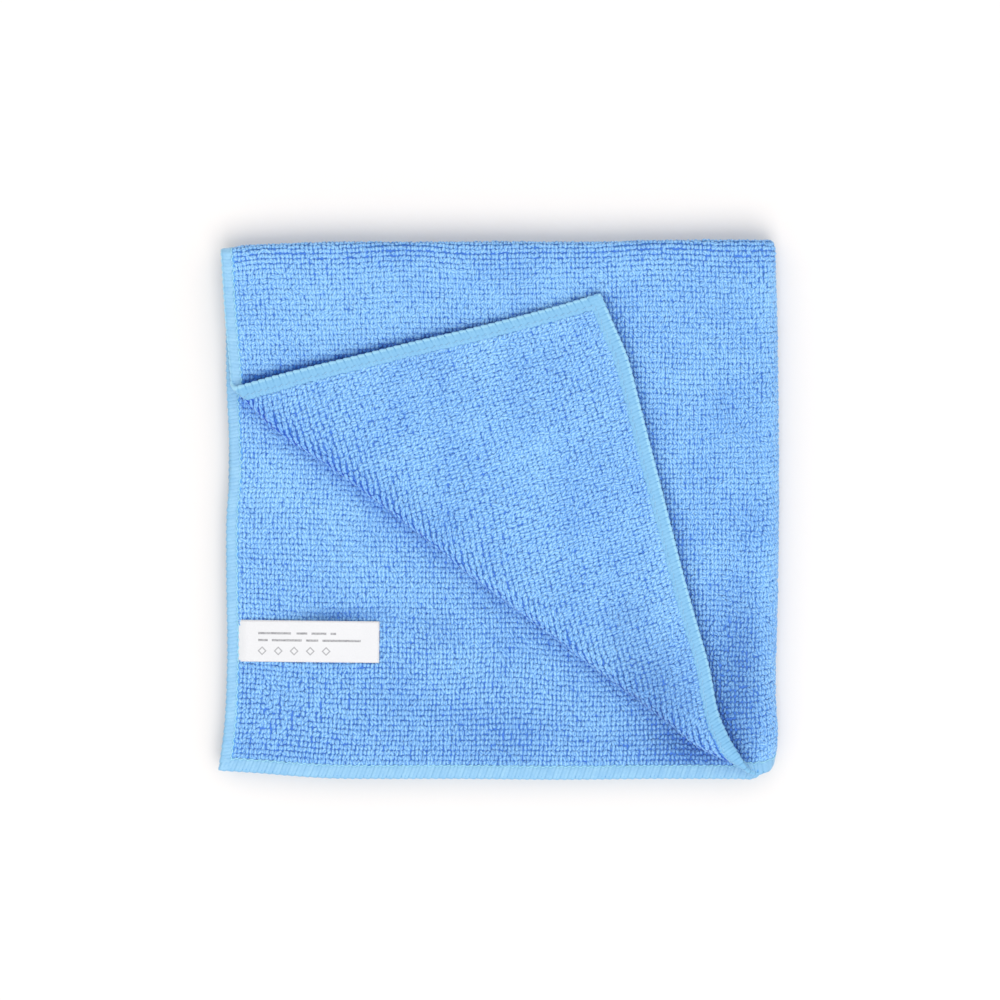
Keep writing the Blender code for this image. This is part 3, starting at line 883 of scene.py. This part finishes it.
overlock = {
    "stitch": 2.74 * mm,
    "strands": 2,  # of a stitch on each face
    "width": 1.16,  # of a strand, over its pitch
    "endNarrows": 0.35,
    "section": (-0.5, -0.28, 0, 0.28, 0.5),  # a strand's points across, in its widths
    "sectionRise": (-0.9, 0.35, 1, 0.35, -0.9),  # and their heights, in arches
    "arch": 0.09 * mm,
    "rough": 0.02 * mm,
    "gather": 0.09,  # how far the strands of a stitch draw together at the edge
    "flapGather": 0.12,
    "scallop": 0.28 * mm,
    "edgeBulge": 0.13 * mm,
    "beatShift": 0.6,
    "uneven": 0.18 * mm,
    "endGap": 0.05 * mm,
    "sideHem": 4.3 * mm,
    "footHem": 5.3 * mm,
    "flapHem": 5.7 * mm,
    "narrows": 1.3 * mm,  # how much narrower the flap's hem is where it starts at the fold
    "widens": 25 * mm,  # over this much of its length a side hem grows to its width on the flap
    # a strand's way from one face over the edge to the other: share of the hem, and height in mm
    "wayIn": (1.0, 0.9, 0.68, 0.45, 0.26, 0.11, 0.01, -0.02),
    "wayUp": (0.50, 0.92, 0.96, 0.97, 0.95, 0.82, 0.50, 0.0),
    # the four edges, and how far a strand runs along each from the edge to its inner end on the
    # upper and lower face, in mm
    "edge": (("u", 1), ("u", -1), ("v", 1), ("v", -1)),
    "slantUpper": (0.5, 0.8, 1.0, 1.0),
    "slantLower": (0.9, -0.8, -0.6, -1.5),
    "ribbed": (0.22, 0.20, 0.25, 0.85),  # how dark the grooves between strands are on each
    "ribbedAtFold": 0.9,  # and how much darker where the turned corner's hem starts at the fold
    "toneAtFold": -2.5,
    "foldReach": 40 * mm,
    "innerGroove": 0.62,  # of a groove between stitches, for one inside a stitch
    # colours; the threads on the turned corner have a tick and a painted highlight at the edge
    "thread": color(0.20, 0.43, 0.67),
    "pale": color(0.27, 0.515, 0.725),
    "fine": 0.6 * mm,
    "fineRange": (0.3, 0.7),
    "fineShare": 0.45,  # of the pale colour
    "soft": 4 * mm,
    "softRange": (0.35, 0.65),
    "softShare": 0.55,
    "toneShare": 0.12,
    "flapThread": color(0.15, 0.41, 0.665),
    "flapShare": 0.6,
    "groove": color(0.09, 0.27, 0.47),
    "grooveShares": (0.4, 0.6),  # the even part and the uneven one
    "grooveSharp": 1.3,
    "outer": color(0.15, 0.38, 0.60),
    "outerShare": 0.5,
    "outerBand": (1.0, 0.0),  # in mm from the edge
    "tick": color(0.05, 0.23, 0.46),
    "tickShare": 0.7,
    "tickInset": 1.3,  # in mm
    "tickBand": (1.1, 0.5),
    "tickSharp": 1.5,
    # painted highlight along the edge of the turned corner's hems, where light catches it
    "rim": color(0.35, 0.66, 0.84),
    "rimHighlightShare": 0.9,
    "rimHighlightBand": (1.3, 0.7),
    "needleThread": color(0.32, 0.66, 0.80),
    "needleTone": (4, 5),  # a tone over these is the needle thread's
    "fibreDepth": 0.06 * mm,
    "roughness": 0.55,
    "sheen": 0.2,
    "sheenRoughness": 0.4,
}


def overlockFinish():
    fixed = {"Roughness": overlock["roughness"], "Sheen Weight": overlock["sheen"],
             "Sheen Roughness": overlock["sheenRoughness"]}
    finish = Finish("overlock_thread", fixed)
    across, tone, inset = finish.value("across"), finish.value("tone"), finish.value("inset")
    ribbed, ticked = finish.value("ribbed"), finish.value("ticked")
    where = finish.where()
    fine = finish.between(finish.noise(overlock["fine"], 2, where), *overlock["fineRange"])
    soft = finish.between(finish.noise(overlock["soft"], 2, where), *overlock["softRange"])
    shares = overlock["fineShare"] * fine + overlock["softShare"] * soft + overlock["toneShare"] * tone
    body = finish.mix(overlock["thread"], overlock["pale"], shares)
    body = finish.mix(body, overlock["flapThread"], ticked * overlock["flapShare"])
    offMiddle = across * across
    even, uneven = overlock["grooveShares"]
    deep = offMiddle ** overlock["grooveSharp"] * ribbed * (even + uneven * soft)
    grooved = finish.mix(body, overlock["groove"], deep)
    plain = overlock["outerShare"] - overlock["outerShare"] * ticked
    outer = finish.between(inset, *overlock["outerBand"]) * plain
    edged = finish.mix(grooved, overlock["outer"], outer)
    # painted highlight on the turned corner's hem edge
    rim = finish.between(inset, *overlock["rimHighlightBand"]) * ticked * (1 - ribbed)
    rimHighlighted = finish.mix(edged, overlock["rim"], rim * overlock["rimHighlightShare"])
    tick = finish.between(abs(inset - overlock["tickInset"]), *overlock["tickBand"])
    tick = tick * offMiddle ** overlock["tickSharp"]
    marked = finish.mix(rimHighlighted, overlock["tick"], tick * ticked * overlock["tickShare"])
    isNeedle = finish.between(tone, *overlock["needleTone"])
    finish.feed("Base Color", finish.mix(marked, overlock["needleThread"], isNeedle))
    finish.feed("Normal", finish.bump(fine, overlock["fibreDepth"]))
    return finish.material


def hemPoint(edge, inset, along, w):
    # edge is the axis across the hem, and on which side of the sheet the hem lies
    axis, side = edge
    if axis == "u":
        return place(side * (halfWidth - inset), along, w)
    return place(along, side * (halfLength - inset), w)


def hemWidth(edge, along, lower):
    # the hems are wider where the turned corner shows them
    axis, side = edge
    onCorner = lower and side > 0
    if axis == "v" and onCorner:
        return overlock["flapHem"] - overlock["narrows"] * nearTo(along, overlock["foldReach"])
    if axis == "v":
        return np.full_like(along, overlock["footHem"])
    share = np.clip(along / overlock["widens"], 0, 1) * onCorner
    return overlock["sideHem"] + share * (overlock["flapHem"] - overlock["sideHem"])


def strandGrid(edge, half, pitch, middle, stitchMiddle, onFlap):
    # the points of the strands: strands by stations by points across, as places along the hem, in
    # from its edge and over the middle of the sheet
    count, column = len(middle), overlock["edge"].index(edge)
    slants = [overlock[key][column] * mm for key in ("slantUpper", "slantLower")]
    wayIn = np.array(overlock["wayIn"] + overlock["wayIn"][-2::-1])
    wayUp = np.array(overlock["wayUp"] + tuple(-up for up in overlock["wayUp"][-2::-1])) * mm
    gather = np.where(onFlap, overlock["flapGather"], overlock["gather"])
    beat = np.cos(2 * math.pi * (middle - stitchMiddle) / pitch + overlock["beatShift"])
    section = np.array(overlock["section"])
    arch = overlock["arch"] * np.array(overlock["sectionRise"])
    alongs, insets, levels = [], [], []
    for station, (share, up) in enumerate(zip(wayIn, wayUp)):
        lower = station >= len(wayIn) // 2
        end = station in (0, len(wayIn) - 1)
        center = middle + slants[lower] * share
        center = center + (stitchMiddle - middle) * gather * max(0, 2 - share * 10)
        reach = share * (hemWidth(edge, middle, lower) + varied(overlock["uneven"], count))
        reach = reach + overlock["scallop"] * beat * end - overlock["edgeBulge"] * beat * (share < 0.2)
        wide = pitch / overlock["strands"] * overlock["width"] * (1 - overlock["endNarrows"] * end)
        across = center[:, None] + section * wide + random.normal(0, overlock["rough"], (count, 1))
        level = up + np.sign(up) * arch + random.normal(0, overlock["rough"], (count, 1))
        alongs.append(across)
        insets.append(np.broadcast_to(reach[:, None] - (arch if up == 0 else 0), across.shape))
        levels.append(np.broadcast_to(level, across.shape))
    along, inset, level = (np.stack(part, 1) for part in (alongs, insets, levels))
    return np.clip(along, overlock["endGap"] - half, half - overlock["endGap"]), inset, level


def strandCells(number, stations, width):
    # each strand has its own cell of the map
    columns = math.ceil(math.sqrt(len(number) * 12 / stations))
    cellX, cellY = number % columns, number // columns
    stretch = np.linspace(0.02, 0.98, stations)[None, :, None] + cellY[:, None, None]
    spread = np.linspace(0.05, 0.95, width)[None, None, :] + cellX[:, None, None]
    cells = np.stack(np.broadcast_arrays(spread / columns, stretch / (cellY.max() + 1)), -1)
    return cells.reshape(-1, 2)


def makeOverlock(name, edge, material):
    half = halfLength if edge[0] == "u" else halfWidth
    stitches = round(2 * half / overlock["stitch"])
    pitch = 2 * half / stitches
    number = np.arange(stitches * overlock["strands"])
    middle = -half + (number + 0.5) * (pitch / overlock["strands"])
    stitchMiddle = -half + (number // overlock["strands"] + 0.5) * pitch
    onFlap = (middle > 0) & (edge[1] > 0)
    along, inset, level = strandGrid(edge, half, pitch, middle, stitchMiddle, onFlap)
    stations, width = along.shape[1:]
    points = hemPoint(edge, inset.ravel(), along.ravel(), level.ravel())
    index = np.arange(along.size).reshape(along.shape)
    faces = np.stack((index[:, :-1, :-1], index[:, :-1, 1:], index[:, 1:, 1:], index[:, 1:, :-1]), -1)
    faces = faces.reshape(-1, 4)
    if (edge[0] == "u") == (edge[1] > 0):
        faces = faces[:, ::-1]
    nearFold = nearTo(middle, overlock["foldReach"]) * (edge == ("v", 1))
    ribbed = overlock["ribbed"][overlock["edge"].index(edge)] + overlock["ribbedAtFold"] * nearFold
    tone = random.normal(0, 1, len(number)) + overlock["toneAtFold"] * nearFold
    ticked = np.outer(onFlap, np.arange(stations) > stations // 2 - 2)
    across = 2 * np.array(overlock["section"])
    outerSide = np.sign(middle - stitchMiddle)[:, None, None] * across > 0
    across = np.where(outerSide, 1.0, overlock["innerGroove"]) * across
    values = {
        "across": np.broadcast_to(across, index.shape).ravel(),
        "tone": np.repeat(tone, stations * width),
        "inset": inset.ravel() / mm,
        "ribbed": np.repeat(ribbed, stations * width),
        "ticked": np.repeat(ticked, width).astype(float),
    }
    uvs = strandCells(number, stations, width)[faces.ravel()]
    return makeMesh(name, points, (faces,), uvs, values, material)


overlockMaterial = overlockFinish()
overlocks = [
    makeOverlock("overlock_upper_left", ("u", 1), overlockMaterial),
    makeOverlock("overlock_lower_left", ("u", -1), overlockMaterial),
    makeOverlock("overlock_upper_foot", ("v", 1), overlockMaterial),
    makeOverlock("overlock_second_foot", ("v", -1), overlockMaterial),
]

# the needle thread near the inner ends of the strands

needle = {
    "radius": 0.19 * mm,
    "sides": 5,
    "inset": 3.85 * mm,
    "footInset": 4.6 * mm,
    "sway": 0.30 * mm,
    "swayVaries": 0.15,
    "height": 1.12 * mm,
    "dip": 0.42 * mm,  # where it goes through the cloth
    "dipSharp": 8,
    "perStitch": 6,
    "tone": 5.5,
    "hemInset": 4,  # where its finish takes it to lie, in mm from the edge
}


def threadCells(count, turn):
    # the thread's map is cut into rows, and its two ends lie above them
    sides = len(turn)
    columns = math.ceil(math.sqrt(count / 4))
    row, column = (np.repeat(part, sides) for part in np.divmod(np.arange(count), columns))
    low, high = (column + 0.02) / columns, (column + 0.98) / columns
    left = row + 0.9 * np.tile(np.arange(sides), count) / sides
    right = left + 0.9 / sides
    rows = row.max() + 2
    cells = np.stack((np.stack((low, high, high, low), -1),
                      np.stack((left, left, right, right), -1) / rows), -1)
    ends = np.stack((np.cos(turn), np.sin(turn)), -1) * 0.4 / rows + (0.5 / rows, 1 - 0.5 / rows)
    return np.concatenate((cells.reshape(-1, 2), ends, ends + (1 / rows, 0)))


def makeNeedleThread(name, edge, lower, material):
    half = (halfLength if edge[0] == "u" else halfWidth) - needle["inset"]
    stitches = round(2 * half / overlock["stitch"])
    count = stitches * needle["perStitch"]
    beat = np.arange(count + 1) / needle["perStitch"]
    along = -half + beat * 2 * half / stitches
    onFlap = lower and edge[1] > 0
    middle = needle["footInset"] if edge[0] == "v" and not onFlap else needle["inset"]
    sway = np.sin(2 * math.pi * beat) + varied(needle["swayVaries"], count + 1)
    inset = middle + needle["sway"] * sway
    level = needle["height"] - needle["dip"] * np.cos(math.pi * beat) ** needle["dipSharp"]
    sides = needle["sides"]
    turn = 2 * math.pi * np.arange(sides) / sides
    insets = inset[:, None] + needle["radius"] * np.cos(turn)
    levels = (-1 if lower else 1) * (level[:, None] + needle["radius"] * np.sin(turn))
    alongs = np.broadcast_to(along[:, None], insets.shape)
    points = hemPoint(edge, insets.ravel(), alongs.ravel(), levels.ravel())
    index = np.arange(insets.size).reshape(count + 1, sides)
    after = np.roll(index, -1, 1)
    faces = np.stack((index[:-1], index[1:], after[1:], after[:-1]), -1).reshape(-1, 4)
    caps = np.stack((index[0], index[-1, ::-1]))
    if ((edge[0] == "u") == (edge[1] > 0)) != lower:
        faces, caps = faces[:, ::-1], caps[:, ::-1]
    plain = {"across": 0, "ribbed": 0, "ticked": 0, "inset": needle["hemInset"]}
    values = {key: np.full(insets.size, value) for key, value in plain.items()}
    values["tone"] = np.repeat(np.where(onFlap & (along > 0), 0, needle["tone"]), sides)
    return makeMesh(name, points, (faces, caps), threadCells(count, turn), values, material)


needleEdges = {"upper_left": ("u", 1), "upper_foot": ("v", 1), "second_foot": ("v", -1)}
needleThreads = [
    makeNeedleThread(f"needle_{name}_{face}", edge, face == "lower", overlockMaterial)
    for name, edge in needleEdges.items()
    for face in ("upper", "lower")
]

# the label

label = {
    "corner": (-97.6 * mm, -40.3 * mm),  # its upper left, which is sewn under the hem
    "length": 54.3 * mm,
    "height": 15.2 * mm,
    "turn": math.radians(-0.6),
    "rest": 0.45 * mm,  # height over the pile
    "half": 0.12 * mm,
    "lift": 1.3 * mm,  # of its upper edge
    "liftSkew": 1.6,
    "tucked": 5.2 * mm,  # how much of its length the hem holds down
    "tuckRamp": 2.5 * mm,
    "tuckHeight": 0.62 * mm,
    "spans": 52,
    "rows": 16,
    # a stand-in print in mm: bars where lines of small print would be, then a row of lozenges
    "printStart": 2,  # from the sewn end
    "bars": ((4.75, (8, 20), (22, 26), (27.5, 33), (34.5, 36.5)),
             (7.3, (8, 11.5), (13, 24), (25.5, 30), (31.5, 45.5))),
    "barHalf": 0.4,
    "barInk": (0.35, 0.5),  # the even part and the grained one
    "lozenges": (9.5, 15.4, 21.2, 27.1, 32.9),
    "lozengesDown": 11.2,
    "lozengeReach": 1.35,
    "lozengeLine": 0.3,
    "lozengeInk": 0.55,
    "tape": color(0.645, 0.645, 0.665),
    "tapePale": color(0.735, 0.735, 0.75),
    "ink": color(0.10, 0.10, 0.11),
    "ribs": 26,  # of its weave, in radians a mm
    "grain": 0.45 * mm,
    "grainRange": (0.3, 0.7),
    "paleShares": (0.5, 0.2, 0.3),  # the even part, the ribs' and the grain's
    "weaveDepth": 0.02 * mm,
    "roughness": 0.42,
    "sheen": 0.1,
}


def labelPrint(across, down, grain):
    marks = []
    even, grained = label["barInk"]
    for middle, *bars in label["bars"]:
        inLine = abs(down - middle) < label["barHalf"]
        for start, end in bars:
            marks.append(inLine * (across > start) * (across < end) * (even + grained * grain))
    for middle in label["lozenges"]:
        reach = abs(across - middle) + abs(down - label["lozengesDown"])
        line = abs(reach - label["lozengeReach"]) < label["lozengeLine"]
        marks.append(line * label["lozengeInk"])
    return sum(marks)


def labelFinish():
    finish = Finish("satin_tape", {"Roughness": label["roughness"], "Sheen Weight": label["sheen"]})
    across, down = finish.value("labelAcross"), finish.value("labelDown")
    grain = finish.between(finish.noise(label["grain"], 2, finish.where()), *label["grainRange"])
    ribs = finish.sine(down * label["ribs"])
    even, ribbed, grained = label["paleShares"]
    tape = finish.mix(label["tape"], label["tapePale"], even + ribbed * ribs + grained * grain)
    finish.feed("Base Color", finish.mix(tape, label["ink"], labelPrint(across, down, grain)))
    finish.feed("Normal", finish.bump(ribs + grain, label["weaveDepth"]))
    return finish.material


def makeLabel():
    spans, rows = label["spans"], label["rows"]
    s, t = (grid.ravel() for grid in np.meshgrid(
        np.linspace(0, 1, spans + 1), np.linspace(0, 1, rows + 1), indexing="ij"))
    lift = label["lift"] * t**2 * np.sin(math.pi * s ** label["liftSkew"]) ** 2
    tuck = np.clip((label["tucked"] - s * label["length"]) / label["tuckRamp"], 0, 1)
    middle = sheet["thickness"] / 2 + label["rest"] + lift
    middle = middle * (1 - tuck) + label["tuckHeight"] * tuck
    right, down = s * label["length"], (1 - t) * label["height"]
    x = label["corner"][0] + right * math.cos(label["turn"]) + down * math.sin(label["turn"])
    y = label["corner"][1] + right * math.sin(label["turn"]) - down * math.cos(label["turn"])
    u, v = flatOrigin[0] - x, y - flatOrigin[1]
    points = np.concatenate([fold(u, v, -middle - side * label["half"]) for side in (1, -1)])
    index = np.arange(s.size).reshape(spans + 1, rows + 1)
    high = np.stack((0.98 * s, 0.45 * t), -1)
    faces, uvs = closedSheet(index, high, high + (0, 0.5), flipped=True)
    values = {"labelAcross": np.tile(right / mm - label["printStart"], 2),
              "labelDown": np.tile(down / mm, 2)}
    return makeMesh("label_tape", points, faces, uvs, values, labelFinish())


labelPiece = makeLabel()

# how the pieces stand for the part

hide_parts("cloth")
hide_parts("label")
for piece in (groundPiece, *piles, *overlocks, *needleThreads):
    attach(piece, "root")
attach(labelPiece, "root")
2 * halfWidth
2 * halfLength
print("sheet of", round(2 * halfWidth, 3), "x", round(2 * halfLength, 3), "m, folded")

# floor and light

studio = {
    "floor": 3.0,  # half its side
    "floorDrop": 0.2 * mm,
    "floorColor": color(0.785, 0.762, 0.748),
    "floorRoughness": 0.9,
    "world": 1.01,
    "keyPlace": (0.45, -2.0, 3.5),
    "keySize": 2.8,
    "keyPower": 78,
}


def makeFloor():
    side, low = studio["floor"], -studio["floorDrop"]
    corners = ((-side, -side, low), (side, -side, low), (side, side, low), (-side, side, low))
    fixed = {"Roughness": studio["floorRoughness"], "Base Color": studio["floorColor"]}
    finish = Finish("plain_floor", fixed)
    uvs = ((0, 0), (1, 0), (1, 1), (0, 1))
    makeMesh("floor", corners, (np.array(((0, 1, 2, 3),)),), uvs, {}, finish.material)


def makeLight():
    world = bpy.data.worlds.new("studio")
    world.use_nodes = True
    background = world.node_tree.nodes["Background"]
    background.inputs["Color"].default_value = color(1, 1, 1)
    background.inputs["Strength"].default_value = studio["world"]
    bpy.context.scene.world = world
    light = bpy.data.lights.new("key", "AREA")
    light.size = studio["keySize"]
    light.energy = studio["keyPower"]
    key = bpy.data.objects.new("key", light)
    bpy.context.scene.collection.objects.link(key)
    key.location = studio["keyPlace"]
    direction = -key.location
    key.rotation_euler = direction.to_track_quat("-Z", "Y").to_euler()
    bpy.context.scene.view_settings.view_transform = "Standard"
    print("lit by the studio and one soft key light")


makeFloor()
makeLight()

bpy.context.view_layer.update()
